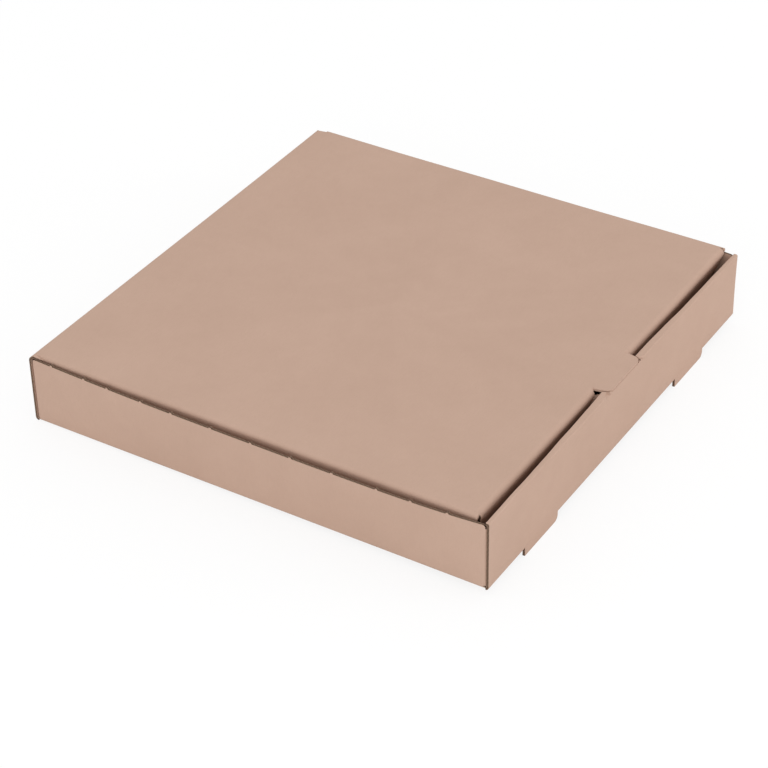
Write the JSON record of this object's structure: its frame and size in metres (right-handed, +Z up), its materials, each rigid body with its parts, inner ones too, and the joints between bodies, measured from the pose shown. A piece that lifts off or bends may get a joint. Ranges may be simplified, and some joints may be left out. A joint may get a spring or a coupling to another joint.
{
  "type": "pizza box",
  "caption": "Square plain kraft pizza box of folded corrugated board, with a rolled-over locked front wall, tuck flaps and a hinged lid with a thumb tab.",
  "frame": {"origin": "centre of the base's underside; two locking feet under the front wall reach below it", "axes": "+Z up out of the lid; X runs along the hinge; -Y is the front, with the rolled-over wall and the thumb tab, and the hinge is at +Y"},
  "size_m": [0.3093, 0.305, 0.0495],
  "materials": {
    "kraft_board": "matte"
  },
  "bodies": {
    "tray": {"tray": "kraft_board"},
    "lid": {"lid": "kraft_board"}
  },
  "joints": [
    {"name": "lid_hinge", "type": "hinge", "parent": "tray", "child": "lid", "pos_m": [0, 0.15175, 0.04445], "axis": [-1, 0, 0], "range_deg": [0, 180]}
  ]
}
